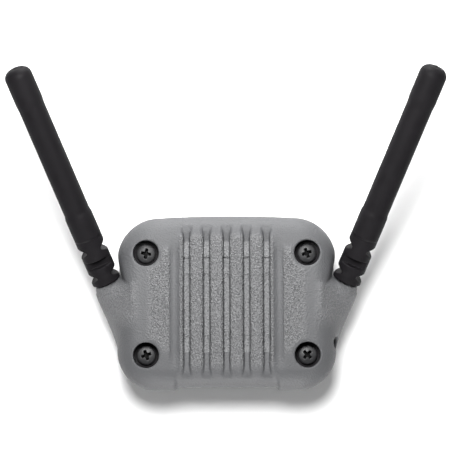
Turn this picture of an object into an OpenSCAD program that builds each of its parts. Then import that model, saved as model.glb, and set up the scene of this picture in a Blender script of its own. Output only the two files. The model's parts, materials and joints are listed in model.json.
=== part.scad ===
// Twin-antenna radio module: grey ribbed case with two sprung rubber stub antennas.
// Origin: centre of the flat rear face. +Z: out of the ribbed face. +Y: the side the antennas lean to.

/* [Case] */
// width of the case
body_w = 58.4; // [56:0.2:62]
// height of the case, along the ribs
body_h = 45.8; // [45:0.2:50]
// thickness, flat rear face to ribbed face
body_t = 22; // [21.6:0.1:24]
// corner radius seen from the front
corner_r = 10.2; // [8:0.1:12]
// fillet between the ribbed face and the side walls
edge_r = 6; // [4:0.5:6.5]
// wall thickness of both covers
wall = 1.8; // [1.6:0.1:2]
// thickness of the rear cover, up to the parting line
rear_t = 4; // [3.6:0.1:4.2]

/* [Ribbed face] */
// distance between neighbouring grooves
groove_pitch = 5.3; // [5:0.1:5.4]
// groove width at its mouth
groove_w = 2.6; // [2:0.1:2.8]
// groove width at its floor
groove_floor_w = 1.4; // [1:0.1:1.6]
// groove depth at its ends
groove_d = 2.6; // [2:0.1:2.8]
// extra depth of each of the two steps in the middle of a groove
groove_step = 0.35; // [0.2:0.05:0.4]
// distance of the smooth side valleys from the middle
valley_x = 13.75; // [13.6:0.05:14]

/* [Screws] */
// half the distance between the screws across the case
screw_x = 21.4; // [21:0.1:21.8]
// half the distance between the screws along the case
screw_y = 13.5; // [13.2:0.1:13.8]
// counterbore radius
bore_r = 3.42; // [3.3:0.01:3.5]
// depth from the face to the top of a screw head
head_depth = 3.2; // [3:0.1:3.4]
// screw head radius
head_r = 2.5; // [2.4:0.05:2.6]

/* [Antennas] */
// middle of the boss end, distance from the centre line
boss_x = 32.15; // [32:0.05:33]
// middle of the boss end, along the case
boss_y = 6.6; // [6:0.1:8]
// middle of the boss end, height above the rear face
boss_z = 14; // [13.6:0.1:14.4]
// radius of the boss
boss_r = 4; // [3.95:0.05:4.2]
// splay of an antenna from the direction of the ribs, in degrees
splay = 22.6; // [20:0.1:25]
// lift of an antenna from the plane of the case, in degrees
lift = 21; // [18:0.5:24]
// length of an antenna from the boss end to the tip
ant_len = 63.2; // [58:0.1:70]
// half the width of the webs in the neck
web = 2.07; // [1.9:0.01:2.2]
// radius of the two neck rings
ring_r = 3.79; // [3.7:0.01:3.85]
// radius of the rod next to the neck
rod_base_r = 3.74; // [3.6:0.01:3.85]
// radius of the rod along its middle
rod_mid_r = 3.52; // [3.4:0.01:3.6]
// radius of the rod at its tip
rod_tip_r = 3.68; // [3.6:0.01:3.85]

/* [Hidden] */
$fn = 64;
eps = 0.01;
seat_z = body_t - head_depth - 1.9;   // underside of a screw head
washer_t = 0.5;
post_z = 8;                           // where the cover's posts meet the rear cover's posts
ceiling = body_t - 4.6;               // inner side of the ribbed face
board_z = 5.2;
board_t = 1.2;
board_top = board_z + board_t;
notch_d = 0.75;                       // recess in the bottom edge
inner_h = body_h - 2 * wall - 2 * notch_d;
usb_z = board_top + 1.63;
button_y = -10.3;
button_z = 15;
flange_r = 3.92;
flange_t = 1.2;
notch1 = [2.05, 2.65];                // narrow part of the lower side notch, along the antenna
slot = [5, 7];                        // front and back slot
notch2 = [9.5, 10.1];                 // narrow part of the upper side notch
plug_len = 8;
plug_r = 2.46;
feed_r = 0.7;
coax_r = 0.57;
tube_r = 1.6;

grey = [0.55, 0.57, 0.58];
dark = [0.13, 0.13, 0.14];
brass_c = [0.78, 0.62, 0.3];
metal = [0.75, 0.76, 0.78];

// ---------- helpers ----------

// a rectangle with round corners
module plan(w, h, r) {
    square([w - 2 * r, h], center = true);
    square([w, h - 2 * r], center = true);
    for (x = [-1, 1], y = [-1, 1])
        translate([x * (w / 2 - r), y * (h / 2 - r)]) circle(r);
}

module slab(w, h, r, z0, z1) {
    translate([0, 0, z0]) linear_extrude(z1 - z0) plan(w, h, r);
}

// half of the section of a wall whose top edge has a fillet: x from the middle out to w
module edge_section(w, h) {
    square([w, h - edge_r]);
    square([w - edge_r, h]);
    translate([w - edge_r, h - edge_r]) circle(edge_r);
}

module full_section(w, h) {
    for (m = [0, 1]) mirror([m, 0]) intersection() {
        edge_section(w / 2, h);
        square([w, h + 1]);
    }
}

// the outer block of the case from the rear face up, with the face's edge rounded
module case_block() {
    rotate([90, 0, 0]) linear_extrude(body_h - 2 * corner_r, center = true)
        full_section(body_w, body_t);
    rotate([90, 0, 90]) linear_extrude(body_w - 2 * corner_r, center = true)
        full_section(body_h, body_t);
    for (x = [-1, 1], y = [-1, 1])
        translate([x * (body_w / 2 - corner_r), y * (body_h / 2 - corner_r), 0])
            rotate_extrude() intersection() {
                edge_section(corner_r, body_t);
                square([corner_r + 1, body_t + 1]);
            }
}

module each_screw() {
    for (x = [-1, 1], y = [-1, 1]) translate([x * screw_x, y * screw_y, 0]) children();
}

// child drawn along +Z is moved to the antenna on side s (-1 left, 1 right), local x across, y to the back
module at_antenna(s) {
    translate([s * boss_x, boss_y, boss_z]) rotate([lift - 90, 0, -s * splay]) children();
}

// round bar between two points
module bar(a, b, r) {
    d = b - a;
    translate(a) rotate([0, acos(d[2] / norm(d)), atan2(d[1], d[0])]) cylinder(r = r, h = norm(d));
}

module bottom_recess() {
    translate([0, -body_h / 2, -1]) linear_extrude(body_t + 2)
        polygon([[-14.6, -1], [-14, 0], [-13, notch_d], [13, notch_d], [14, 0], [14.6, -1]]);
}

// ---------- case ----------

module groove() {
    top = body_t + 1;
    run = body_h + 2;
    slope = (groove_w - groove_floor_w) / 2 / groove_d;
    wide = groove_w / 2 + slope;
    half = groove_floor_w / 2;
    rotate([90, 0, 0]) linear_extrude(run, center = true)
        polygon([[-half, body_t - groove_d], [half, body_t - groove_d], [wide, top], [-wide, top]]);
    for (k = [1, 2])
        translate([-half, k == 1 ? -12.9 : -8.5, body_t - groove_d - k * groove_step])
            cube([2 * half, k == 1 ? 25.2 : 16.3, groove_d]);
}

module valley() {
    r = 1.3;
    for (x = [-1, 1]) translate([x * valley_x, 0, body_t + 0.25]) {
        translate([0, 15.5, 0]) rotate([90, 0, 0]) cylinder(r = r, h = 34.2);
        for (y = [15.5, -18.7]) translate([0, y, 0]) sphere(r);
    }
}

module button_slot(grow) {
    translate([body_w / 2 - 5, button_y, button_z]) rotate([0, 90, 0]) linear_extrude(8) {
        for (z = [-1.4, 1.4]) translate([z, 0]) circle(1.6 + grow);
        square([2.8, 3.2 + 2 * grow], center = true);
    }
}

// outer shape of a boss: a tube along the antenna, and a fuller shoulder on its inner side
module boss_outer(s) {
    intersection() {
        union() {
            at_antenna(s) translate([0, 0, -19]) cylinder(r = boss_r, h = 19);
            bar([s * 29.9, 4.2, 12.6], [s * 24.5, -7, 11.2], 5);
        }
        translate([-40, -20, rear_t]) cube([80, 40, body_t - rear_t - 1]);
    }
}

module ribbed_cover() {
    color(grey) difference() {
        union() {
            difference() {
                union() {
                    intersection() {
                        case_block();
                        translate([-50, -50, rear_t]) cube([100, 100, body_t]);
                    }
                    for (s = [-1, 1]) boss_outer(s);
                }
                slab(body_w - 2 * wall, inner_h, corner_r - wall, rear_t - 1, ceiling);
            }
            each_screw() {
                translate([0, 0, post_z]) cylinder(r = 3.25, h = ceiling - post_z + eps);
                translate([0, 0, 15]) cylinder(r = 5, h = ceiling - 15 + eps);
            }
            for (s = [-1, 1]) at_antenna(s) translate([0, 0, -9]) cylinder(r = boss_r, h = 9);
        }
        each_screw() {
            translate([0, 0, post_z - 1]) cylinder(r = 1.5, h = body_t);
            translate([0, 0, seat_z - washer_t]) cylinder(r = bore_r, h = body_t);
            translate([0, 0, body_t - 0.5]) cylinder(r1 = bore_r, r2 = bore_r + 0.6, h = 0.5 + eps);
        }
        for (i = [-2:2]) translate([i * groove_pitch, 0, 0]) groove();
        valley();
        bottom_recess();
        button_slot(0);
        for (s = [-1, 1]) at_antenna(s) {
            translate([0, 0, -plug_len]) cylinder(r = 2.5, h = plug_len + 1);
            translate([0, 0, -16]) cylinder(r = 1.75, h = 16);
            cylinder(r = boss_r, h = 6);
        }
        translate([0, -body_h / 2 + 1, usb_z]) rotate([90, 0, 0]) linear_extrude(6, center = true)
            plan(9.3, 3.6, 1.75);
    }
}

module rear_cover() {
    color(grey) difference() {
        union() {
            difference() {
                slab(body_w, body_h, corner_r, 0, rear_t);
                slab(body_w - 2 * wall, inner_h, corner_r - wall, wall, rear_t + 1);
            }
            each_screw() translate([0, 0, wall - eps]) cylinder(r = 3.25, h = post_z - wall + eps);
            board_points() translate([0, 0, wall - eps]) cylinder(r = 2, h = board_z - wall + eps);
        }
        difference() {
            slab(body_w - 1, body_h - 1 - 2 * notch_d, corner_r - 0.5, rear_t - 0.8, rear_t + 1);
            slab(body_w - 2.6, body_h - 2.6 - 2 * notch_d, corner_r - 1.3, rear_t - 2, rear_t + 2);
        }
        difference() {
            slab(body_w + 2, body_h + 2, corner_r, -1, 0.8);
            slab(body_w - 1.2, body_h - 1.2, corner_r - 0.6, -2, 2);
        }
        each_screw() translate([0, 0, 3]) cylinder(r = 1.9, h = 6);
        board_points() translate([0, 0, wall + 0.4]) cylinder(r = 0.8, h = 6);
        bottom_recess();
    }
}

module perimeter_seal() {
    color(dark) difference() {
        slab(body_w - 1, body_h - 1 - 2 * notch_d, corner_r - 0.5, rear_t - 0.8, rear_t);
        slab(body_w - 2.6, body_h - 2.6 - 2 * notch_d, corner_r - 1.3, rear_t - 2, rear_t + 2);
    }
}

// cross recess of a screw head, cut from the top at z = 0
module cross_recess(len, w, d) {
    for (a = [0, 90]) rotate(a) translate([-len / 2, -w / 2, -d]) cube([len, w, d + 1]);
}

module pan_screw(hr, hh, r, len, turn) {
    difference() {
        union() {
            intersection() {
                translate([0, 0, -len]) cylinder(r = hr, h = len + hh);
                union() {
                    translate([0, 0, hh - 2.3 * hr]) sphere(2.3 * hr);
                    translate([0, 0, -len]) cylinder(r = r, h = len);
                }
                translate([-hr, -hr, 0]) cube([2 * hr, 2 * hr, hh]);
            }
            translate([0, 0, -len]) cylinder(r = r, h = len + eps);
        }
        translate([0, 0, hh]) rotate(turn) cross_recess(2.8 * hr / 2.5, 0.75 * hr / 2.5, 1.1 * hr / 2.5);
    }
}

module cover_screws() {
    turns = [[10, 20], [45, 70]];
    color(dark) for (x = [0, 1], y = [0, 1])
        translate([(2 * x - 1) * screw_x, (2 * y - 1) * screw_y, seat_z])
            pan_screw(head_r, 1.9, 1.25, 12, turns[x][y]);
}

module screw_washers() {
    color(dark) each_screw() translate([0, 0, seat_z - washer_t]) difference() {
        cylinder(r = 3.3, h = washer_t);
        translate([0, 0, -1]) cylinder(r = 1.35, h = 3);
    }
}

module threaded_inserts() {
    color(brass_c) each_screw() translate([0, 0, 3]) difference() {
        cylinder(r = 1.9, h = post_z - 3);
        translate([0, 0, -1]) cylinder(r = 1.27, h = 8);
    }
}

// ---------- electronics ----------

module board_points() {
    for (x = [-14, 14], y = [-16, 16]) translate([x, y, 0]) children();
}

module main_circuit_board() {
    color([0.1, 0.3, 0.2]) translate([0, 0, board_z]) difference() {
        linear_extrude(board_t) {
            square([33, 38], center = true);
            square([46.8, 14], center = true);
            translate([20, -12.4]) square([6.8, 6.4]);
        }
        board_points() translate([0, 0, -1]) cylinder(r = 1.1, h = 4);
        each_screw() translate([0, 0, -1]) cylinder(r = 3.4, h = 4);
    }
}

module board_screws() {
    color(metal) board_points() translate([0, 0, board_top]) pan_screw(1.6, 1, 0.78, 4, 30);
}

module radio_shield_cans() {
    color(metal) for (s = [-1, 1]) translate([s * 11.8, 5.4, board_top]) difference() {
        translate([-4.6, -5, 0]) cube([9.2, 10, 2.2]);
        translate([-4.4, -4.8, -eps]) cube([8.8, 9.6, 2]);
    }
}

module video_processor() {
    color(dark) translate([-6, -4, board_top]) cube([12, 12, 1.1]);
}

module memory_chips() {
    color(dark) for (s = [-1, 1]) translate([s * 11.5 - 3, -7.4, board_top]) cube([6, 6.6, 0.9]);
}

module thermal_pad() {
    color([0.5, 0.6, 0.75]) translate([-5.5, -3.5, board_top + 1.1]) cube([11, 11, 1]);
}

module heat_spreader() {
    color(metal) {
        translate([-5.5, -3.5, board_top + 2.1]) cube([11, 11, ceiling - 1.5 - board_top - 2.1 + eps]);
        translate([-13, -14, ceiling - 1.5]) cube([26, 28, 1.5]);
    }
}

module usb_c_receptacle() {
    y1 = -body_h / 2 + notch_d + 0.15;
    color(metal) translate([0, y1, usb_z]) rotate([-90, 0, 0]) {
        difference() {
            linear_extrude(7.3) plan(8.94, 3.26, 1.6);
            translate([0, 0, -1]) linear_extrude(6.9) plan(8.34, 2.66, 1.3);
        }
        translate([-3.35, -0.35, 0.9]) cube([6.7, 0.7, 5.2]);
    }
}

module pairing_button() {
    x1 = body_w / 2 - 0.9;
    color(dark) {
        intersection() {
            button_slot(-0.08);
            translate([x1 - 1.6, button_y - 4, button_z - 5]) cube([1.6, 8, 10]);
        }
        translate([x1 - 1.4, button_y, button_z - 1.2]) rotate([0, -90, 0]) cylinder(r = 0.7, h = 0.7);
    }
}

module pairing_switch() {
    color(dark) {
        translate([24.5, button_y - 1.9, board_top]) cube([1.1, 3.8, 8.3]);
        translate([25.6, button_y, button_z - 1.2]) rotate([0, 90, 0]) cylinder(r = 0.6, h = 0.15);
    }
}

socket_at = [19.5, -2.5, 0];

module coax_sockets() {
    color(brass_c) for (s = [-1, 1]) translate([s * socket_at[0], socket_at[1], board_top]) {
        translate([-1.3, -1.3, 0]) cube([2.6, 2.6, 0.35]);
        translate([0, 0, 0.35]) cylinder(r = 0.75, h = 0.6);
    }
}

module coax_plugs() {
    color(metal) for (s = [-1, 1]) translate([s * socket_at[0], socket_at[1], board_top + 0.35]) {
        difference() {
            cylinder(r = 1.2, h = 1.5);
            translate([0, 0, -eps]) cylinder(r = 0.75, h = 0.6 + eps);
        }
        translate([s > 0 ? 0.9 : -2.1, -0.75, 0.75]) cube([1.2, 1.5, 0.75]);
    }
}

// point on the antenna axis of side s, t along it from the boss end
function ant(s, t) = [
    s * (boss_x + t * cos(lift) * sin(splay)),
    boss_y + t * cos(lift) * cos(splay),
    boss_z + t * sin(lift)
];

coax_lap = 0.35;   // how far neighbouring lengths of coax run into each other
coax_step = 0.05;  // the middle length is this much thicker, as its crimp sleeve

module coax(s) {
    z = board_top + 1.5;
    pts = [ant(s, -9), ant(s, -14), [s * 24, -5.5, z], [s * 21.6, -2.5, z]];
    last = len(pts) - 2;
    color([0.2, 0.2, 0.22]) for (i = [0:last]) {
        d = (pts[i + 1] - pts[i]) / norm(pts[i + 1] - pts[i]);
        from = pts[i] - (i > 0 ? coax_lap : 0) * d;
        to = pts[i + 1] + (i < last ? coax_lap : 0) * d;
        bar(from, to, coax_r + coax_step * (i % 2));
    }
}
module left_coax() coax(-1);
module right_coax() coax(1);

// ---------- antennas: all drawn along +Z from the boss end ----------

// part of a round rubber piece whose side view across the antenna is the child polygon
module across(r) {
    intersection() {
        translate([0, 0, -1]) cylinder(r = r, h = 20);
        rotate([90, 0, 0]) linear_extrude(20, center = true) children();
    }
}

module feed_hole() {
    translate([0, 0, -12]) cylinder(r = feed_r, h = 30);
}

module antenna_base(s) {
    color(dark) at_antenna(s) difference() {
        union() {
            across(flange_r) polygon([
                [-4, 0], [4, 0], [4, flange_t], [web, notch1[0]], [web, flange_t],
                [-web, flange_t], [-web, notch1[0]], [-4, flange_t]
            ]);
            translate([0, 0, -plug_len]) cylinder(r = plug_r, h = plug_len + eps);
        }
        translate([0, 0, -4]) difference() {
            cylinder(r = 4, h = 1.2);
            translate([0, 0, -1]) cylinder(r = 1.9, h = 4);
        }
        translate([0, 0, -12]) cylinder(r = 1.3, h = 12.5);
        feed_hole();
    }
}
module left_antenna_base() antenna_base(-1);
module right_antenna_base() antenna_base(1);

module boss_seal(s) {
    color([0.5, 0.2, 0.15]) at_antenna(s) translate([0, 0, -4]) difference() {
        cylinder(r = 2.5, h = 1.2);
        translate([0, 0, -1]) cylinder(r = 1.9, h = 4);
    }
}
module left_boss_seal() boss_seal(-1);
module right_boss_seal() boss_seal(1);

module ferrule(s) {
    color(brass_c) at_antenna(s) translate([0, 0, -9]) difference() {
        cylinder(r = 1.3, h = 9.5);
        translate([0, 0, -1]) cylinder(r = feed_r, h = 12);
    }
}
module left_ferrule() ferrule(-1);
module right_ferrule() ferrule(1);

// coaxial feed from the ferrule, through the neck, to the radiator
module feed(s) {
    color([0.85, 0.85, 0.8]) at_antenna(s) translate([0, 0, -9]) cylinder(r = feed_r, h = 22);
}
module left_feed() feed(-1);
module right_feed() feed(1);

// a web that leaves the neck free to bend across the antenna
module side_web(s, z0, z1) {
    color(dark) at_antenna(s) difference() {
        across(ring_r) translate([-web, z0]) square([2 * web, z1 - z0]);
        feed_hole();
    }
}
module left_web_low() side_web(-1, flange_t, 3.3);
module right_web_low() side_web(1, flange_t, 3.3);
module left_web_high() side_web(-1, 8.6, 11.2);
module right_web_high() side_web(1, 8.6, 11.2);

module ring(s, upper) {
    low = [
        [-4, 3.3], [-web, notch1[1]], [-web, 3.3], [web, 3.3], [web, notch1[1]], [4, 3.3],
        [4, slot[0]], [-4, slot[0]]
    ];
    high = [
        [-4, slot[1]], [4, slot[1]], [4, 8.6], [web, notch2[0]], [web, 8.6],
        [-web, 8.6], [-web, notch2[0]], [-4, 8.6]
    ];
    color(dark) at_antenna(s) difference() {
        across(ring_r) polygon(upper ? high : low);
        feed_hole();
    }
}
module left_ring_low() ring(-1, false);
module right_ring_low() ring(1, false);
module left_ring_high() ring(-1, true);
module right_ring_high() ring(1, true);

// the middle web leaves the neck free to bend to the front and back
module middle_web(s) {
    color(dark) at_antenna(s) difference() {
        intersection() {
            cylinder(r = ring_r, h = 20);
            translate([-5, -web, slot[0]]) cube([10, 2 * web, slot[1] - slot[0]]);
        }
        feed_hole();
    }
}
module left_web_mid() middle_web(-1);
module right_web_mid() middle_web(1);

module rod(s) {
    tip = ant_len;
    cr = 2.4;
    color(dark) at_antenna(s) difference() {
        union() {
            across(rod_base_r) polygon([
                [-4, 11.2], [-web, notch2[1]], [-web, 11.2], [web, 11.2], [web, notch2[1]],
                [4, 11.2], [4, 13], [-4, 13]
            ]);
            rotate_extrude() intersection() {
                union() {
                    polygon([
                        [0, 13], [rod_base_r, 13], [rod_base_r, 19.8], [rod_mid_r, 20.8],
                        [rod_mid_r, tip - 11.3], [rod_tip_r, tip - 10.1],
                        [rod_tip_r, tip - cr], [0, tip - cr]
                    ]);
                    translate([0, tip - cr - 1]) square([rod_tip_r - cr, cr + 1]);
                    translate([rod_tip_r - cr, tip - cr]) circle(cr);
                }
                square([10, 100]);
            }
        }
        feed_hole();
        translate([0, 0, 13]) cylinder(r = tube_r, h = 45);
    }
}
module left_rod() rod(-1);
module right_rod() rod(1);

module radiator(s) {
    color(brass_c) at_antenna(s) translate([0, 0, 13]) difference() {
        cylinder(r = tube_r, h = 45);
        translate([0, 0, -1]) cylinder(r = tube_r - 0.4, h = 50);
    }
}
module left_radiator() radiator(-1);
module right_radiator() radiator(1);

ribbed_cover();
rear_cover();
perimeter_seal();
cover_screws();
screw_washers();
threaded_inserts();
main_circuit_board();
board_screws();
radio_shield_cans();
video_processor();
memory_chips();
thermal_pad();
heat_spreader();
usb_c_receptacle();
pairing_button();
pairing_switch();
coax_sockets();
coax_plugs();
left_coax();
left_antenna_base();
left_boss_seal();
left_ferrule();
left_feed();
left_web_low();
left_ring_low();
left_web_mid();
left_ring_high();
left_web_high();
left_rod();
left_radiator();
right_coax();
right_antenna_base();
right_boss_seal();
right_ferrule();
right_feed();
right_web_low();
right_ring_low();
right_web_mid();
right_ring_high();
right_web_high();
right_rod();
right_radiator();
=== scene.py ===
"""Looks for the twin-antenna radio module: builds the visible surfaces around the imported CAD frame.

Lengths inside the shape functions are millimetres in the CAD frame: X across the case, Y along the ribs,
Z out of the ribbed face, with the origin at the centre of the flat rear face.
"""

import json
import math

import bmesh
import bpy
import numpy as np
from mathutils import Matrix, Vector


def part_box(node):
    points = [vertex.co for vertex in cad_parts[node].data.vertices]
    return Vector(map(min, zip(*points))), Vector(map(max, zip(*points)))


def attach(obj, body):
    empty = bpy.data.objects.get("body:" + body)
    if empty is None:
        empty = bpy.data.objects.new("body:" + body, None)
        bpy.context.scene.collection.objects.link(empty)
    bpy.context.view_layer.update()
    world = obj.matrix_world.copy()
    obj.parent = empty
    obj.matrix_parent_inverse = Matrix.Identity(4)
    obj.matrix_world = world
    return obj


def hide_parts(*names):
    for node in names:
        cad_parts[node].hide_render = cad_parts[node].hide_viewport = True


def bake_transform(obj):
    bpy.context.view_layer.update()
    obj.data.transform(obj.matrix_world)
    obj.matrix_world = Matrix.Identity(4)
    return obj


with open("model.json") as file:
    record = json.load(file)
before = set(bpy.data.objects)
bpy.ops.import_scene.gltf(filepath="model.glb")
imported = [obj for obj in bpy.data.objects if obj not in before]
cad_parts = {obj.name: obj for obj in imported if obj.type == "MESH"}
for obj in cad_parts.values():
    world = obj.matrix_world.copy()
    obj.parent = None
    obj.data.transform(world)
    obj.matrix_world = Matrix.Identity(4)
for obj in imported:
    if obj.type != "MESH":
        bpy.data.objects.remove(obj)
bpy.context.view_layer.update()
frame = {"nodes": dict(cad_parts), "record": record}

MM = 0.001
joints = {j["name"]: j for j in frame["record"]["behaviour"]["joints"]}


def mm_box(node):
    """Lowest and highest corner of a CAD node, in mm."""
    lo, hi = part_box(node)
    return np.array(lo) / MM, np.array(hi) / MM


# ---------------------------------------------------------------- driving sizes, mm

rear_lo, rear_hi = mm_box("rear_cover")
HALF_W, HALF_H = rear_hi[0], rear_hi[1]
PART_Z = mm_box("ribbed_cover")[0][2]  # parting plane between the two covers
FACE_Z = mm_box("ribbed_cover")[1][2]
CORNER_R = 10.4
EDGE_R = 6.0
WALL = 1.8
CEILING = FACE_Z - 4.6
RECESS_HALF, RECESS_D, RECESS_RAMP = 13.0, 0.75, 1.4  # shallow recess in the bottom edge
CROWN_Y, CROWN_X = 0.0030, 0.0006  # how the ribbed face domes, mm per mm squared
TOP_RISE, TOP_BOW = 0.8, 0.0015  # the top edge bows out: rise in the middle, and its fall to the sides

GROOVES, PITCH = 2, 5.3  # grooves each side of the middle one
GROOVE_FLOOR, GROOVE_SLOPE, GROOVE_LIP = 0.68, 0.12, 0.85  # half width, draft and radius of the edge
GROOVE_D = 1.5
HEAD_Y, STEP_Y, NOTCH_Y, COVE_Y, FOOT_Y = 16.3, 12.4, 7.9, -8.4, -12.9  # where groove floors change depth
RIBS_X = 12.7  # outer edge of the outermost ribs
VALLEY_X, VALLEY_R, VALLEY_UP = 13.85, 2.0, 1.45
VALLEY_TOP, VALLEY_FOOT = 19.0, -20.5
PANEL_X = 15.0  # inner edge of the side panels

SCREW_X, SCREW_Y = 21.4, 13.5
BORE_R, SHANK_R, SCREW_LEN = 3.42, 1.25, 12.0
HEAD_R, HEAD_H = 2.5, 1.9
DOME_R = 2.3 * HEAD_R
SEAT_Z = FACE_Z - 3.2 - HEAD_H
CROSS_D, CROSS_W, CROSS_L = 1.6, 0.30, 0.85  # cross recess: depth, and half width and length at its bottom

POST_R, POST_Z = 3.25, 8.0  # posts under the screws, and where the two covers' posts meet
COLUMN_R, COLUMN_Z = 5.0, 15.0  # thicker upper part of the front cover's posts
INSERT_R, INSERT_Z = 1.9, 3.0
STAND_X, STAND_Y, STAND_R, STAND_Z = 14.0, 16.0, 2.0, 5.2  # stand-offs under the circuit board
SEAL_IN, SEAL_OUT, SEAL_D = 1.3, 0.5, 0.8  # groove of the perimeter seal: distances from the edge, depth

LOW_HINGE, HIGH_HINGE = 2.35, 9.8  # the side-to-side hinges' distances from the boss end
low_at, high_at = (np.array(joints[f"right_{n}_side_flex"]["pos_m"]) / MM for n in ("lower", "upper"))
ALONG = (high_at - low_at) / np.linalg.norm(high_at - low_at)  # direction of the right antenna
BOSS = low_at - LOW_HINGE * ALONG  # middle of the right boss end
BOSS_R, COLLAR, COLLAR_D = 4.0, 2.2, 0.3
SHOULDER = ((29.0, 2.6, 13.2), (24.8, -6.5, 11.6), 4.9)  # blends the boss into the case: ends and radius
CREST = ((24.9, 4.6, 20.5), (24.5, -1.0, 20.55), 1.0)  # low ridge from the boss along the edge of the panel
SLEEVE_LEN, PLUG_LEN, PLUG_R, COAX_LEN, COAX_WAY_R = 9.0, 8.0, 2.47, 16.0, 1.75
ANT_LEN = 63.2
WEB = 2.07
FLANGE_R, RING_R, BASE_R, MID_R, TIP_R = 3.92, 3.79, 3.74, 3.52, 3.68
SIDE_NOTCHES = ((1.1, 2.05, 2.6, 3.4), (8.6, 9.5, 10.1, 11.2))  # along the neck: mouths, narrow parts
SLOT_S, SLOT_HALF = 6.0, 1.05  # the front and back slots between them
FEED_R, FEED_WAY_R = 0.7, 1.3
BUTTON_Y, BUTTON_Z, BUTTON_HALF, BUTTON_R = -10.3, 15.0, 1.4, 1.6
USB_Z, USB_HALF_W, USB_HALF_H = 8.03, 4.65, 1.8


def axis_of(side):
    """Direction of the antenna on side -1 (left) or 1 (right)."""
    return ALONG * [side, 1, 1]


def boss_end(side):
    return BOSS * [side, 1, 1]


# ---------------------------------------------------------------- distance fields


def smooth_min(a, b, k):
    h = np.clip(0.5 + 0.5 * (b - a) / k, 0, 1)
    return b + (a - b) * h - k * h * (1 - h)


def smooth_max(a, b, k):
    return -smooth_min(-a, -b, k)


def step(x, lo, hi):
    t = np.clip((x - lo) / (hi - lo), 0, 1)
    return t * t * (3 - 2 * t)


def rounded_rect(x, y, half_w, half_h, r):
    qx, qy = np.abs(x) - half_w + r, np.abs(y) - half_h + r
    return np.hypot(np.maximum(qx, 0), np.maximum(qy, 0)) + np.minimum(np.maximum(qx, qy), 0) - r


def filleted(side, top, r):
    """Intersection of two half-spaces whose shared edge has radius r."""
    a, b = side + r, top + r
    return np.minimum(np.maximum(a, b), 0) + np.hypot(np.maximum(a, 0), np.maximum(b, 0)) - r


def capsule(x, y, z, a, b, r):
    a, b = np.array(a, float), np.array(b, float)
    d = b - a
    px, py, pz = x - a[0], y - a[1], z - a[2]
    t = np.clip((px * d[0] + py * d[1] + pz * d[2]) / (d @ d), 0, 1)
    return np.sqrt((px - t * d[0]) ** 2 + (py - t * d[1]) ** 2 + (pz - t * d[2]) ** 2) - r


def along_right_antenna(x, y, z):
    """Distance along the right antenna from its boss end, and distance from its axis."""
    px, py, pz = x - BOSS[0], y - BOSS[1], z - BOSS[2]
    s = px * ALONG[0] + py * ALONG[1] + pz * ALONG[2]
    r = np.sqrt(np.maximum(px * px + py * py + pz * pz - s * s, 0))
    return s, r


def face_height(x, y):
    return FACE_Z - CROWN_Y * y * y - CROWN_X * x * x


def outline(x, y):
    """Plan outline of the case."""
    rise = (TOP_RISE - TOP_BOW * x * x) * step(y, 4, 18)
    case = rounded_rect(x, y - rise, HALF_W, HALF_H, CORNER_R)
    ramp = HALF_H - RECESS_D * step(RECESS_HALF + RECESS_RAMP - np.abs(x), 0, RECESS_RAMP)
    return smooth_max(case, -y - ramp, 0.2)


def groove_depth(y):
    """Depth of a groove's floor under the face: stepped in the middle, running out at both ends."""
    cove = np.clip((COVE_Y - y) / (COVE_Y - FOOT_Y), 0, 1)
    stretches = (
        (y >= HEAD_Y, -0.21 * (y - HEAD_Y)),
        (y > STEP_Y, -0.3 * (HEAD_Y - y) / (HEAD_Y - STEP_Y)),
        (y > NOTCH_Y, 0.45 - 0.2 * (STEP_Y - y) / (STEP_Y - NOTCH_Y)),
        (y > COVE_Y, 0.65 + 0 * y),
        (y > FOOT_Y, 0.8 - 0.8 * cove**2.2),
    )
    where, deeper = zip(*stretches)
    return GROOVE_D + np.select(where, deeper, 0.14 * (y - FOOT_Y))


def grooves(x, y, zt):
    """Room cut by the grooves. zt is the height above the face."""
    middle = PITCH * np.clip(np.round(x / PITCH), -GROOVES, GROOVES)
    flare = 0.3 * (step(y, 16.5, 21) + step(-y, 15.5, 21))
    up = zt + groove_depth(y)
    side = np.abs(x - middle) - GROOVE_FLOOR - flare - GROOVE_SLOPE * up
    return smooth_max(side, -up, 0.12)


def valleys(x, y, zt):
    fade = 1 - step(VALLEY_TOP - y, 0, 7.0) * step(y - VALLEY_FOOT, 0, 8.0)
    return np.hypot(np.abs(x) - VALLEY_X, zt - VALLEY_UP - 0.8 * fade) - VALLEY_R


def boss(s, r):
    """Antenna boss, a little thinner in the collar at its end."""
    radius = BOSS_R - COLLAR_D + COLLAR_D * step(-s, COLLAR, COLLAR + 0.3)
    return smooth_max(filleted(r - radius, s, 0.3), -19 - s, 0.5)


def neck_room(x, y, s, r):
    """Trough that leaves the right antenna's flange open to the front."""
    d = ALONG
    across = np.abs((x - BOSS[0]) * d[1] - (y - BOSS[1]) * d[0]) / math.hypot(d[0], d[1])
    return np.maximum(np.minimum(across, r) - BOSS_R - 0.05, np.abs(s - 3.5) - 3.5)


def screw_ways(x, y):
    """Distance from the nearest screw's axis."""
    return np.hypot(np.abs(x) - SCREW_X, np.abs(y) - SCREW_Y)


def button_opening(x, y, z):
    nearest = np.clip(z, BUTTON_Z - BUTTON_HALF, BUTTON_Z + BUTTON_HALF)
    return np.maximum(np.hypot(y - BUTTON_Y, z - nearest) - BUTTON_R, HALF_W - 5 - x)


def inner_plan(x, y):
    """Plan outline of the room inside the case."""
    return rounded_rect(x, y, HALF_W - WALL, HALF_H - WALL - RECESS_D, CORNER_R - WALL)


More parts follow.
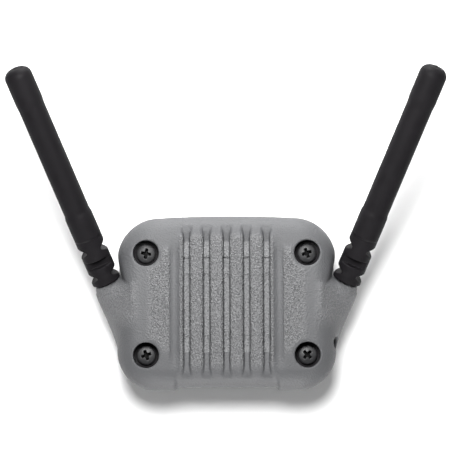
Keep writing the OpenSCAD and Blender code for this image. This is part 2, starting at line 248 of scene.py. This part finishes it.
def cover_field(x, y, z):
    """Distance to the surface of the ribbed front cover."""
    zt = z - face_height(x, y)
    f = filleted(outline(x, y), zt, EDGE_R)
    ax = np.abs(x)
    s, r = along_right_antenna(ax, y, z)
    f = smooth_min(f, smooth_max(capsule(ax, y, z, *SHOULDER), s + 0.6, 1.0), 3.0)
    f = smooth_min(f, boss(s, r), 1.8)
    f = smooth_min(f, capsule(ax, y, z, *CREST), 0.8)
    f = smooth_max(f, -neck_room(ax, y, s, r), 2.2)
    f = smooth_max(f, -valleys(x, y, zt), 0.5)
    f = filleted(f, -grooves(x, y, zt), GROOVE_LIP)
    ways = screw_ways(x, y)
    f = smooth_max(f, -np.maximum(ways - BORE_R, SEAT_Z - 0.5 - z), 0.4)
    f = smooth_max(f, -button_opening(x, y, z), 0.25)
    # the inside: a plain cavity with screw posts and antenna sleeves
    cavity = np.maximum(inner_plan(x, y), z - CEILING)
    posts = np.minimum(np.maximum(ways - POST_R, POST_Z - z), np.maximum(ways - COLUMN_R, COLUMN_Z - z))
    sleeve = np.maximum(r - BOSS_R, -SLEEVE_LEN - s)
    cavity = np.maximum(cavity, -np.minimum(posts, sleeve))
    f = np.maximum(f, -cavity)
    f = np.maximum(f, SHANK_R + 0.25 - ways)
    plug_way = np.maximum(r - PLUG_R - 0.03, -PLUG_LEN - s)
    coax_way = np.maximum(r - COAX_WAY_R, -COAX_LEN - s)
    f = np.maximum(f, -np.minimum(plug_way, coax_way))
    port = rounded_rect(x, z - USB_Z, USB_HALF_W, USB_HALF_H, USB_HALF_H - 0.05)
    port = np.maximum(port, y + HALF_H - 4)
    f = smooth_max(f, -port, 0.2)
    return smooth_max(f, PART_Z - z, 0.12)


def rear_field(x, y, z):
    """Distance to the surface of the flat rear cover."""
    f = filleted(outline(x, y) + 0.03, z - PART_Z, 0.12)
    f = filleted(f, -z, 0.9)
    f = np.maximum(f, -np.maximum(inner_plan(x, y), WALL - z))
    ways = screw_ways(x, y)
    stand = np.hypot(np.abs(x) - STAND_X, np.abs(y) - STAND_Y)
    posts = np.minimum(np.maximum(ways - POST_R, z - POST_Z), np.maximum(stand - STAND_R, z - STAND_Z))
    f = np.minimum(f, np.maximum(posts, WALL - 0.3 - z))
    f = np.maximum(f, -np.maximum(ways - INSERT_R, INSERT_Z - z))
    f = np.maximum(f, -np.maximum(stand - 0.8, 2.2 - z))
    outer, inner = (
        rounded_rect(x, y, HALF_W - d, HALF_H - d - RECESS_D, CORNER_R - d) for d in (SEAL_OUT, SEAL_IN)
    )
    return np.maximum(f, -np.maximum(np.maximum(outer, -inner), PART_Z - SEAL_D - z))


def neck_field(u, v, s):
    """Flange, flexible neck and start of the rod. u across, v to the back, s along from the boss end."""
    r = np.hypot(u, v)
    radius = FLANGE_R + (RING_R - FLANGE_R) * step(s, 1.6, 3.2) + (BASE_R - RING_R) * step(s, 9, 11)
    f = filleted(r - radius, -s, 0.2)
    reach = RING_R - WEB
    out = np.abs(u) - WEB
    for mouth0, narrow0, narrow1, mouth1 in SIDE_NOTCHES:
        low = narrow0 - out * (narrow0 - mouth0) / reach
        high = narrow1 + out * (mouth1 - narrow1) / reach
        cut = smooth_max(-out, smooth_max(low - s, s - high, 0.2), 0.25)
        f = smooth_max(f, -cut, 0.28)
    slot = smooth_max(WEB - np.abs(v), np.abs(s - SLOT_S) - SLOT_HALF, 0.25)
    f = smooth_max(f, -slot, 0.3)
    plug = np.maximum(r - PLUG_R, np.maximum(-PLUG_LEN - s, s - 0.2))
    seal_groove = np.maximum(np.abs(s + 3.4) - 0.6, 1.9 - r)
    f = np.minimum(f, np.maximum(plug, -seal_groove))
    return np.maximum(f, -np.maximum(r - FEED_WAY_R, s - 0.5))


def screw_field(x, y, z):
    """A pan-head screw standing on z = 0, with its shank below."""
    r = np.hypot(x, y)
    dome = np.sqrt(r * r + (z - HEAD_H + DOME_R) ** 2) - DOME_R
    head = smooth_max(smooth_max(r - HEAD_R, dome, 0.35), -z, 0.1)
    deep = HEAD_H - CROSS_D
    wide = CROSS_W + 0.05 * (z - deep)
    long = CROSS_L + 0.36 * (z - deep)
    arm = np.maximum(np.abs(y) - wide, np.abs(x) - long)
    other = np.maximum(np.abs(x) - wide, np.abs(y) - long)
    cross = np.maximum(smooth_min(arm, other, 0.25), deep - z)
    f = smooth_max(head, -cross, 0.12)
    shank = np.maximum(r - SHANK_R, np.maximum(-SCREW_LEN - z, z - 0.2))
    return np.minimum(f, shank)


# ---------------------------------------------------------------- meshing

CORNERS = [(i, j, k) for i in (0, 1) for j in (0, 1) for k in (0, 1)]
EDGES = [
    (a, b) for a in range(8) for b in range(a + 1, 8)
    if sum(abs(p - q) for p, q in zip(CORNERS[a], CORNERS[b])) == 1
]


def surface_net(field, lo, hi, h, polish=3):
    """Quads over the zero surface of field inside the box lo..hi, on a grid of pitch h, in mm."""
    lo = np.array(lo, float)
    n = np.ceil((np.array(hi) - lo) / h).astype(int) + 1
    x, y, z = (lo[i] + h * np.arange(n[i], dtype=np.float32) for i in range(3))
    f = field(x[:, None, None] + 0 * y[None, :, None] + 0 * z,
              0 * x[:, None, None] + y[None, :, None] + 0 * z,
              0 * x[:, None, None] + 0 * y[None, :, None] + z).astype(np.float32)
    inside = f < 0
    count = sum(
        inside[i : n[0] - 1 + i, j : n[1] - 1 + j, k : n[2] - 1 + k].astype(np.int8)
        for i, j, k in CORNERS
    )
    cells = np.argwhere((count > 0) & (count < 8))
    number = np.full(n - 1, -1, np.int32)
    number[tuple(cells.T)] = np.arange(len(cells))
    value = np.stack([f[tuple((cells + c).T)] for c in CORNERS], 1)
    total, hits = np.zeros((len(cells), 3)), np.zeros(len(cells))
    for a, b in EDGES:
        va, vb = value[:, a], value[:, b]
        cross = (va < 0) != (vb < 0)
        t = np.where(cross, va / np.where(cross, va - vb, 1), 0)[:, None]
        ca, cb = np.array(CORNERS[a], float), np.array(CORNERS[b], float)
        total += cross[:, None] * (ca + t * (cb - ca))
        hits += cross
    points = lo + h * (cells + total / hits[:, None])
    quads = []
    for axis in range(3):
        a1, a2 = (axis + 1) % 3, (axis + 2) % 3
        first = np.take(inside, range(n[axis] - 1), axis)
        second = np.take(inside, range(1, n[axis]), axis)
        for grows in (True, False):
            at = np.argwhere((first & ~second) if grows else (~first & second))
            at = at[(at[:, a1] > 0) & (at[:, a1] < n[a1] - 1) & (at[:, a2] > 0) & (at[:, a2] < n[a2] - 1)]
            around = []
            for d1, d2 in ((1, 1), (0, 1), (0, 0), (1, 0)):
                c = at.copy()
                c[:, a1] -= d1
                c[:, a2] -= d2
                around.append(number[tuple(c.T)])
            quad = np.stack(around, 1)
            quads.append(quad if grows else quad[:, ::-1])
    quads = np.concatenate(quads)
    for _ in range(polish):
        points = toward_surface(field, points, 0.35 * h)
    return points, quads


def toward_surface(field, p, most):
    """Moves points along the field's slope onto its zero surface, by no more than most."""
    e = 0.02
    here = field(*p.T)
    slope = np.stack(
        [field(*(p + e * np.eye(3)[i]).T) - field(*(p - e * np.eye(3)[i]).T) for i in range(3)], 1
    ) / (2 * e)
    size = np.maximum((slope**2).sum(1), 0.2)
    move = -(here / size)[:, None] * slope
    far = np.maximum(np.linalg.norm(move, axis=1) / most, 1)
    return p + move / far[:, None]


def make_mesh(name, points, faces, smooth=True):
    """A new object from points in mm and faces given as an array or as lists."""
    mesh = bpy.data.meshes.new(name)
    faces = faces if isinstance(faces, list) else faces.tolist()
    mesh.from_pydata((points * MM).tolist(), [], faces)
    mesh.validate()
    mesh.polygons.foreach_set("use_smooth", [smooth] * len(mesh.polygons))
    obj = bpy.data.objects.new(name, mesh)
    bpy.context.scene.collection.objects.link(obj)
    return obj


def paint_mask(obj, name, mask):
    """Stores a 0 to 1 value per vertex, for the materials."""
    co = np.empty(len(obj.data.vertices) * 3)
    obj.data.vertices.foreach_get("co", co)
    x, y, z = co.reshape(-1, 3).T / MM
    layer = obj.data.attributes.new(name, "FLOAT", "POINT")
    layer.data.foreach_set("value", np.clip(mask(x, y, z), 0, 1).astype(np.float32))


# ---------------------------------------------------------------- materials


def new_material(name, color, roughness, specular=0.5, metallic=0.0):
    m = bpy.data.materials.new(name)
    m.use_nodes = True
    shader = m.node_tree.nodes["Principled BSDF"]
    shader.inputs["Base Color"].default_value = (*color, 1)
    shader.inputs["Roughness"].default_value = roughness
    shader.inputs["Metallic"].default_value = metallic
    shader.inputs["Specular IOR Level"].default_value = specular
    return m, m.node_tree, shader


def node(tree, kind, **values):
    n = tree.nodes.new(kind)
    for key, value in values.items():
        if key in n.inputs:
            n.inputs[key].default_value = value
        else:
            setattr(n, key, value)
    return n


def combined(tree, op, a, b, clamp=False):
    """ADD or MULTIPLY of two values, each a number or an output."""
    n = node(tree, "ShaderNodeMath", operation=op, use_clamp=clamp)
    for i, v in enumerate((a, b)):
        if isinstance(v, float):
            n.inputs[i].default_value = v
        else:
            tree.links.new(v, n.inputs[i])
    return n.outputs[0]


def added(tree, a, b):
    return combined(tree, "ADD", a, b)


def times(tree, a, b, clamp=False):
    return combined(tree, "MULTIPLY", a, b, clamp)


def mapped(tree, value, lo, hi, out_lo, out_hi):
    n = node(tree, "ShaderNodeMapRange")
    tree.links.new(value, n.inputs["Value"])
    for key, v in (("From Min", lo), ("From Max", hi), ("To Min", out_lo), ("To Max", out_hi)):
        n.inputs[key].default_value = v
    return n.outputs["Result"]


def mixed(tree, factor, a, b):
    """Colour between a and b."""
    n = tree.nodes.new("ShaderNodeMix")
    n.data_type = "RGBA"
    tree.links.new(factor, n.inputs["Factor"])
    for key, v in ((6, a), (7, b)):
        if isinstance(v, tuple):
            n.inputs[key].default_value = (*v, 1)
        else:
            tree.links.new(v, n.inputs[key])
    return n.outputs[2]


def noise(tree, where, scale, detail=3.0, rough=0.55):
    n = node(tree, "ShaderNodeTexNoise", Scale=scale, Detail=detail, Roughness=rough)
    tree.links.new(where, n.inputs["Vector"])
    return n.outputs["Fac"]


def soft_cells(tree, where, scale):
    n = node(tree, "ShaderNodeTexVoronoi", feature="SMOOTH_F1", Scale=scale)
    tree.links.new(where, n.inputs["Vector"])
    return n.outputs["Distance"]


def painted(tree, name):
    """A value painted on the vertices by paint_mask, and 0 on pieces without it."""
    return node(tree, "ShaderNodeAttribute", attribute_name=name).outputs["Fac"]


def bump(tree, shader, height, distance):
    n = node(tree, "ShaderNodeBump", Strength=1.0, Distance=distance)
    tree.links.new(height, n.inputs["Height"])
    tree.links.new(n.outputs["Normal"], shader.inputs["Normal"])


def grey_plastic():
    """Moulded grey plastic: pebble grain where the grain mask is 1, nearly smooth elsewhere; painted shade
    darkens the pits between the pebbles, painted highlight specks sit on their tops, and painted light
    makes the groove floors lighter.
    """
    m, tree, shader = new_material("grey_plastic", (0.12, 0.12, 0.13), 0.55, 0.42)
    where = node(tree, "ShaderNodeTexCoord").outputs["Object"]
    grain = painted(tree, "grain")
    pebbles = mapped(tree, soft_cells(tree, where, 2600.0), 0.1, 0.75, 1.0, 0.0)
    fine = noise(tree, where, 5200.0, 2.0)
    broad = noise(tree, where, 260.0, 3.0)
    height = added(tree, times(tree, pebbles, 0.75), times(tree, fine, 0.35))
    bump(tree, shader, times(tree, height, mapped(tree, grain, 0, 1, 0.18, 1.0)), 0.00052)
    tone = added(tree, mapped(tree, grain, 0, 0.6, 0, 0.85), times(tree, broad, 0.15))
    base = mixed(tree, tone, (0.055, 0.056, 0.059), (0.095, 0.096, 0.099))
    # painted shade: the low ground between the pebbles is darkened
    pit_shade = mapped(tree, pebbles, 0.55, 0.15, 0.0, 0.4)
    base = mixed(tree, times(tree, pit_shade, grain, clamp=True), base, (0.03, 0.03, 0.031))
    # painted highlight: light specks on the pebbles' tops
    sparkle_highlight = mapped(tree, times(tree, fine, pebbles), 0.22, 0.55, 0.0, 1.0)
    sparkle_highlight = times(tree, sparkle_highlight, grain, clamp=True)
    painted_light_grey = (0.26, 0.262, 0.268)
    base = mixed(tree, times(tree, sparkle_highlight, 0.5), base, painted_light_grey)
    # painted light: the middle stretch of the groove floors is made lighter
    base = mixed(tree, times(tree, painted(tree, "groove_floor_light"), 0.17), base, painted_light_grey)
    tree.links.new(base, shader.inputs["Base Color"])
    tree.links.new(mapped(tree, grain, 0, 1, 0.60, 0.50), shader.inputs["Roughness"])
    return m


def black_rubber():
    m, tree, shader = new_material("black_rubber", (0.03, 0.03, 0.032), 0.62, 0.08)
    where = node(tree, "ShaderNodeTexCoord").outputs["Object"]
    fine = noise(tree, where, 3800.0, 3.0)
    broad = noise(tree, where, 240.0, 3.0)
    bump(tree, shader, fine, 0.00003)
    base = mixed(tree, broad, (0.0042, 0.0038, 0.0044), (0.008, 0.0072, 0.0084))
    tree.links.new(base, shader.inputs["Base Color"])
    tree.links.new(mapped(tree, broad, 0.3, 0.7, 0.52, 0.68), shader.inputs["Roughness"])
    return m


def black_steel():
    m, tree, shader = new_material("black_steel", (0.02, 0.02, 0.02), 0.5, 0.4)
    where = node(tree, "ShaderNodeTexCoord").outputs["Object"]
    scuff = noise(tree, where, 900.0, 4.0)
    bump(tree, shader, noise(tree, where, 6000.0, 2.0), 0.00001)
    # painted shade: the cross recesses are darkened nearly to black and their shine is taken away
    recess = painted(tree, "recess")
    skin = mixed(tree, scuff, (0.008, 0.008, 0.009), (0.022, 0.022, 0.023))
    tree.links.new(mixed(tree, recess, skin, (0.002, 0.002, 0.002)), shader.inputs["Base Color"])
    tree.links.new(mapped(tree, recess, 0, 1, 0.4, 0.05), shader.inputs["Specular IOR Level"])
    tree.links.new(mapped(tree, scuff, 0.3, 0.7, 0.44, 0.60), shader.inputs["Roughness"])
    return m


def simple(name, low, high, roughness, metallic=0.0, scale=900.0, relief=0.00001):
    """Two tones of one colour broken up by noise, with a fine surface relief."""
    m, tree, shader = new_material(name, low, roughness, metallic=metallic)
    where = node(tree, "ShaderNodeTexCoord").outputs["Object"]
    patch = noise(tree, where, scale, 3.0)
    bump(tree, shader, noise(tree, where, 5 * scale, 2.0), relief)
    tree.links.new(mixed(tree, patch, low, high), shader.inputs["Base Color"])
    spread = mapped(tree, patch, 0.3, 0.7, roughness - 0.07, roughness + 0.07)
    tree.links.new(spread, shader.inputs["Roughness"])
    return m


MATERIALS = {
    "grey_plastic": grey_plastic(),
    "black_rubber": black_rubber(),
    "black_steel": black_steel(),
    "brass": simple("brass", (0.60, 0.42, 0.16), (0.78, 0.58, 0.28), 0.3, 1.0),
    "circuit_board": simple("circuit_board", (0.015, 0.09, 0.045), (0.03, 0.15, 0.08), 0.4),
    "bright_steel": simple("bright_steel", (0.52, 0.52, 0.54), (0.68, 0.68, 0.70), 0.32, 1.0),
    "chip_plastic": simple("chip_plastic", (0.018, 0.018, 0.018), (0.03, 0.03, 0.03), 0.55),
    "thermal_silicone": simple("thermal_silicone", (0.28, 0.38, 0.52), (0.36, 0.46, 0.6), 0.6),
    "seal_silicone": simple("seal_silicone", (0.28, 0.05, 0.03), (0.38, 0.08, 0.05), 0.5),
    "aluminium": simple("aluminium", (0.66, 0.67, 0.69), (0.8, 0.81, 0.83), 0.35, 1.0),
    "coax_jacket": simple("coax_jacket", (0.10, 0.10, 0.11), (0.15, 0.15, 0.16), 0.45),
}
slot_of = {p["node"]: p["material_slot"] for p in frame["record"]["subparts"]}
for name, obj in frame["nodes"].items():
    obj.data.materials.clear()
    obj.data.materials.append(MATERIALS[slot_of[name]])


def finish_piece(obj, slot, body=None):
    obj.data.materials.clear()
    obj.data.materials.append(MATERIALS[slot])
    if body:
        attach(obj, body)
    return obj


# ---------------------------------------------------------------- case


def floor_stretch(x, y):
    """1 along the middle stretch of the grooves, with a sharp lower end."""
    along = step(HEAD_Y + 0.6 - y, 0, 0.9) * step(y - FOOT_Y + 0.1, 0, 0.25)
    return along * step(RIBS_X - np.abs(x), 0, 0.5)


def floor_light_mask(x, y, z):
    """1 on the middle stretch of the groove floors, where the colour is made lighter as painted light."""
    return floor_stretch(x, y) * step(face_height(x, y) - z, 1.0, 1.3)


def grain_mask(x, y, z):
    """How strongly the mould is grained: on the ribs, the groove floors, the side panels and the bosses. It
    also scales the painted pit shade and the painted highlight specks.
    """
    zt = z - face_height(x, y)
    ax = np.abs(x)
    ribs = step(RIBS_X - ax, 0, 0.5) * step(19.2 - y, 0, 2.4) * step(y + 18.6, 0, 4.6)
    ribs = ribs * step(zt, -0.75, -0.35)
    floors = floor_stretch(x, y) * step(-zt, 0.9, 1.1)
    panel = step(ax, PANEL_X, PANEL_X + 0.2) * step(-outline(x, y), 7.2, 10.2) * step(y, -14.5, -9.0)
    panel = panel * step(screw_ways(x, y), 3.9, 4.6)
    bosses = step(ax, 22.6, 25.0) * step(7.5 - np.abs(y), 0, 5.0) * step(zt, -11.0, -4.0)
    return np.maximum.reduce([0.85 * ribs, 0.6 * floors, 0.95 * panel, 0.45 * bosses])


def build_cover():
    reach = BOSS[0] + 4.4
    lo, hi = (-reach, -HALF_H - 1, PART_Z - 0.6), (reach, HALF_H + 1, FACE_Z + 0.6)
    points, quads = surface_net(cover_field, lo, hi, 0.3)
    obj = make_mesh("front_shell", points, quads)
    paint_mask(obj, "grain", grain_mask)
    paint_mask(obj, "groove_floor_light", floor_light_mask)
    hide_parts("ribbed_cover")
    return finish_piece(obj, "grey_plastic", "case")


def build_rear():
    lo, hi = (-HALF_W - 1, -HALF_H - 1, -0.6), (HALF_W + 1, HALF_H + 1, POST_Z + 0.6)
    points, quads = surface_net(rear_field, lo, hi, 0.35)
    obj = make_mesh("rear_shell", points, quads)
    paint_mask(obj, "grain", lambda x, y, z: step(z, 0.4, 0.0) * step(-outline(x, y), 1.0, 2.0))
    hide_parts("rear_cover")
    return finish_piece(obj, "grey_plastic", "case")


SCREW_TURNS = {(-1, 1): 80, (1, 1): 20, (-1, -1): 20, (1, -1): 45}  # how far each corner's cross is turned


def recess_shade_mask(x, y, z, sx, sy):
    """1 inside the cross recess of the screw in that corner, where the steel is darkened as painted shade.
    """
    r = np.hypot(x - sx * SCREW_X, y - sy * SCREW_Y)
    top = SEAT_Z + HEAD_H - 1.35 * r * r / (2 * DOME_R)
    return step(top - z, 0.15, 0.5) * step(1.7 - r, 0, 0.2)


def build_screws():
    points, quads = surface_net(screw_field, (-2.9, -2.9, -SCREW_LEN - 0.4), (2.9, 2.9, HEAD_H + 0.5), 0.12)
    for (sx, sy), turn in SCREW_TURNS.items():
        a = math.radians(turn)
        spin = np.array([[math.cos(a), -math.sin(a), 0], [math.sin(a), math.cos(a), 0], [0, 0, 1]])
        placed = points @ spin.T + [sx * SCREW_X, sy * SCREW_Y, SEAT_Z]
        name = ("upper" if sy > 0 else "lower") + ("_right" if sx > 0 else "_left") + "_screw"
        obj = make_mesh(name, placed, quads)
        paint_mask(obj, "recess", lambda x, y, z: recess_shade_mask(x, y, z, sx, sy))
        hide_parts("cover_screws")
        finish_piece(obj, "black_steel", "case")


# ---------------------------------------------------------------- antennas


def antenna_frame(side):
    """Rows: across, to the back, along the antenna on this side."""
    d = axis_of(side)
    across = np.array([d[1], -d[0], 0]) / math.hypot(d[0], d[1])
    return np.array([across, np.cross(d, across), d])


def lathe(profile, turns):
    """Solid of revolution about the third axis from (radius, height) points, closed flat at both ends."""
    angles = [2 * math.pi * i / turns for i in range(turns)]
    points = [(r * math.cos(a), r * math.sin(a), h) for r, h in profile for a in angles]
    faces = []
    for k in range(len(profile) - 1):
        for i in range(turns):
            j = (i + 1) % turns
            faces.append([k * turns + i, k * turns + j, (k + 1) * turns + j, (k + 1) * turns + i])
    faces.append(list(reversed(range(turns))))
    faces.append([(len(profile) - 1) * turns + i for i in range(turns)])
    return np.array(points), faces


def spaced(a, b, gap):
    """Points from a to b, about gap apart."""
    a, b = np.array(a, float), np.array(b, float)
    n = max(1, int(round(np.linalg.norm(b - a) / gap)))
    return [tuple(a + (b - a) * i / n) for i in range(n)]


ROD_START = 13.0  # where the rod's own skin takes over from the neck's
SPLITS = (4.15, 7.8)  # where the neck's skin is divided, in the middle of its rings
STEP_DOWN, STEP_UP = 19.7, ANT_LEN - 11.3  # where the rod gets thinner, and thicker again
DOME_EDGE, DOME_RISE = 2.5, 0.3  # the tip: radius of its edge, and rise of its crown
ROD_TURNS, FEED_TURNS, FEED_RINGS = 72, 20, 16


def rod_profile():
    """Radius and height of points up the side of the rod and over its tip."""
    shoulder = ANT_LEN - DOME_EDGE - DOME_RISE
    crown_r = TIP_R - DOME_EDGE
    line = [(BASE_R, ROD_START), (BASE_R, STEP_DOWN), (BASE_R - 0.05, STEP_DOWN + 0.25)]
    line += [(MID_R + 0.05, STEP_DOWN + 0.85), (MID_R, STEP_DOWN + 1.1)]
    line += [(MID_R, STEP_UP - 0.2), (MID_R + 0.04, STEP_UP + 0.1)]
    line += [(TIP_R - 0.04, STEP_UP + 1.1), (TIP_R, STEP_UP + 1.4), (TIP_R, shoulder)]
    profile = [p for a, b in zip(line, line[1:]) for p in spaced(a, b, 0.6)]
    for i in range(13):
        a = math.radians(90 * i / 12)
        profile.append((crown_r + DOME_EDGE * math.cos(a), shoulder + DOME_EDGE * math.sin(a)))
    for t in (0.35, 0.7, 0.92):
        profile.append((crown_r * (1 - t), ANT_LEN - DOME_RISE * (1 - t) ** 2))
    return profile


def cut_between(obj, origin, axis, lo, hi):
    """Keeps the part of the mesh between lo and hi along axis, with flat caps whose edges are sharp."""
    bm = bmesh.new()
    bm.from_mesh(obj.data)
    for at, keep in ((lo, 1), (hi, -1)):
        if at is None:
            continue
        got = bmesh.ops.bisect_plane(
            bm, geom=bm.verts[:] + bm.edges[:] + bm.faces[:], plane_co=Vector((origin + axis * at) * MM),
            plane_no=Vector(axis * keep), clear_inner=True, dist=1e-8,
        )
        rim = [e for e in got["geom_cut"] if isinstance(e, bmesh.types.BMEdge)]
        caps = bmesh.ops.holes_fill(bm, edges=rim, sides=0)["faces"]
        for f in caps:
            f.smooth = False
            for e in f.edges:
                e.smooth = False
    bm.to_mesh(obj.data)
    bm.free()


def outward(faces, axes):
    """The faces, turned round on the side where the antenna's own axes are left-handed."""
    if np.linalg.det(axes) > 0:
        return faces
    return [f[::-1] for f in faces] if isinstance(faces, list) else faces[:, ::-1]


def bend_with(obj):
    """Bakes the piece's placement into its mesh."""
    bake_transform(obj)


def build_antennas():
    neck, neck_faces = surface_net(neck_field, (-4.3, -4.3, -8.4), (4.3, 4.3, ROD_START + 0.6), 0.14)
    rod, rod_faces = lathe(rod_profile(), ROD_TURNS)
    nodes = (
        ("antenna_base", "web_low", "ring_low"),
        ("ring_low", "web_mid", "ring_high"),
        ("ring_high", "web_high", "rod"),
    )
    cuts = (None, *SPLITS, ROD_START)
    for side, word in ((-1, "left"), (1, "right")):
        axes, base = antenna_frame(side), boss_end(side)
        bodies = ["case", word + "_neck_low", word + "_neck_high", word + "_antenna"]
        for i, part in enumerate(("lower", "middle", "upper")):
            obj = make_mesh(f"{word}_neck_{part}_skin", neck @ axes + base, outward(neck_faces, axes))
            cut_between(obj, base, axes[2], cuts[i], cuts[i + 1])
            finish_piece(obj, "black_rubber")
            bend_with(obj)
            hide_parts(*[f"{word}_{n}" for n in nodes[i]])
        obj = make_mesh(f"{word}_rod_skin", rod @ axes + base, outward(rod_faces, axes))
        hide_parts(f"{word}_rod")
        finish_piece(obj, "black_rubber", bodies[3])
        build_feed(word, axes, base)


def build_feed(word, axes, base):
    """The coaxial feed inside the neck, in three lengths."""
    ends = (-SLEEVE_LEN, *SPLITS, ROD_START)
    for i in range(3):
        heights = np.linspace(ends[i], ends[i + 1], FEED_RINGS)
        points, faces = lathe([(FEED_R, h) for h in heights], FEED_TURNS)
        obj = make_mesh(f"{word}_feed_{i + 1}", points @ axes + base, outward(faces, axes), smooth=False)
        finish_piece(obj, "coax_jacket")
        bend_with(obj)
        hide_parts(f"{word}_feed")


build_cover()
build_rear()
build_screws()
build_antennas()


# ---------------------------------------------------------------- studio


def floor_material():
    m, tree, shader = new_material("studio_floor", (0.86, 0.86, 0.86), 0.8)
    where = node(tree, "ShaderNodeTexCoord").outputs["Object"]
    tone = mixed(tree, noise(tree, where, 3.0, 2.0), (0.85, 0.85, 0.85), (0.87, 0.87, 0.87))
    tree.links.new(tone, shader.inputs["Base Color"])
    return m


FLOOR_HALF = 3.0  # all studio sizes in metres
FLOOR_GAP = 0.00002
KEY_AT, KEY_AIM, KEY_SIZE, KEY_POWER = (-0.015, 0.085, 0.25), (0, 0, 0.01), 0.12, 1.5
BOX_SIZE, BOX_REACH = 0.3, 0.6
BOXES = (("left", -1, 0.1, 0.7), ("right", 1, 0.1, 0.7), ("top", 0, 1, 10.0), ("bottom", 0, -1, 8.5))


def build_floor():
    mesh = bpy.data.meshes.new("floor")
    corners = [(FLOOR_HALF * x, FLOOR_HALF * y, 0) for x, y in ((-1, -1), (1, -1), (1, 1), (-1, 1))]
    mesh.from_pydata(corners, [], [(0, 1, 2, 3)])
    floor = bpy.data.objects.new("floor", mesh)
    floor.location.z = -FLOOR_GAP
    mesh.materials.append(floor_material())
    bpy.context.scene.collection.objects.link(floor)


def area_light(name, at, aim, size, power):
    data = bpy.data.lights.new(name, "AREA")
    data.shape, data.size, data.energy = "DISK", size, power
    obj = bpy.data.objects.new(name, data)
    obj.location = at
    obj.rotation_euler = (Vector(aim) - Vector(at)).to_track_quat("-Z", "Y").to_euler()
    bpy.context.scene.collection.objects.link(obj)


def build_camera():
    """Looks nearly straight down the ribbed face, from a little below it."""
    aim = Vector((-0.09, 20.57, FACE_Z)) * MM
    distance, tilt, roll = 0.6, math.radians(4.0), math.radians(-0.24)
    data = bpy.data.cameras.new("camera")
    data.sensor_width, data.lens = 36.0, 180.4
    data.clip_start, data.clip_end = 0.01, 20
    cam = bpy.data.objects.new("camera", data)
    back = Vector((0, -math.sin(tilt), math.cos(tilt)))
    turn = Matrix.Rotation(tilt, 4, "X") @ Matrix.Rotation(roll, 4, "Z")
    cam.matrix_world = Matrix.Translation(aim + back * distance) @ turn
    bpy.context.scene.collection.objects.link(cam)
    bpy.context.scene.camera = cam


def build_light():
    scene = bpy.context.scene
    scene.view_settings.view_transform = "Standard"
    world = bpy.data.worlds.new("studio")
    scene.world = world
    world.use_nodes = True
    background = world.node_tree.nodes["Background"]
    background.inputs["Color"].default_value = (1, 1, 1, 1)
    background.inputs["Strength"].default_value = 0.2
    area_light("key", KEY_AT, KEY_AIM, KEY_SIZE, KEY_POWER)
    for name, x, y, power in BOXES:
        area_light(name + "_box", (BOX_REACH * x, BOX_REACH * y, 0), (0, 0, 0), BOX_SIZE, power)


build_floor()
build_camera()
build_light()
